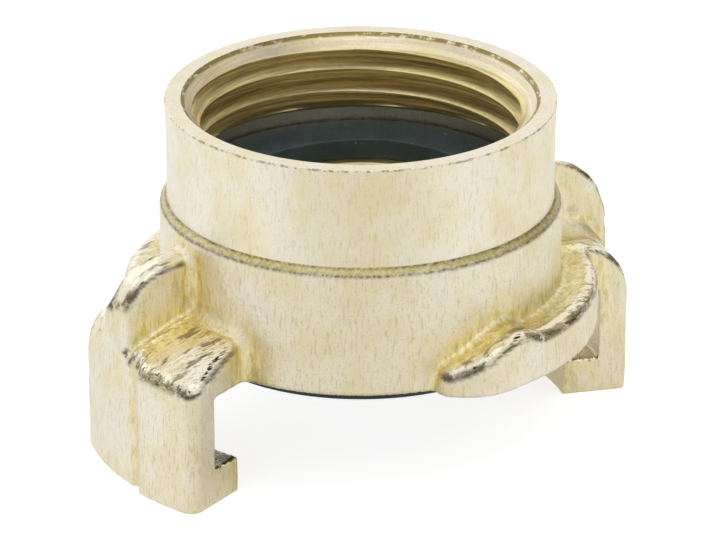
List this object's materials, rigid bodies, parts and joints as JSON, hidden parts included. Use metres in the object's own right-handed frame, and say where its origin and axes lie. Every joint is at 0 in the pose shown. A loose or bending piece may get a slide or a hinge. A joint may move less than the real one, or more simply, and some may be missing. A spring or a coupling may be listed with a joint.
{
  "type": "quick connect hose coupling",
  "caption": "Claw-type quick connect hose coupling half in brass, with an internal pipe thread, a rubber coupling seal and a thread gasket.",
  "frame": {"origin": "on the coupling's axis, in the plane of its two claw feet", "axes": "+Z along the axis towards the threaded end; the two claws point along +X and -X, and each cam lies clockwise of its claw, seen from the threaded end"},
  "size_m": [0.0542, 0.0454, 0.0332],
  "materials": {
    "brass": "blasted forged brass, pale and satin, with polished edges",
    "seal_rubber": "smooth black rubber",
    "gasket_rubber": "matt dark grey rubber"
  },
  "bodies": {
    "root": {"brass_body": "brass", "coupling_seal": "seal_rubber", "thread_gasket": "gasket_rubber"}
  },
  "joints": []
}
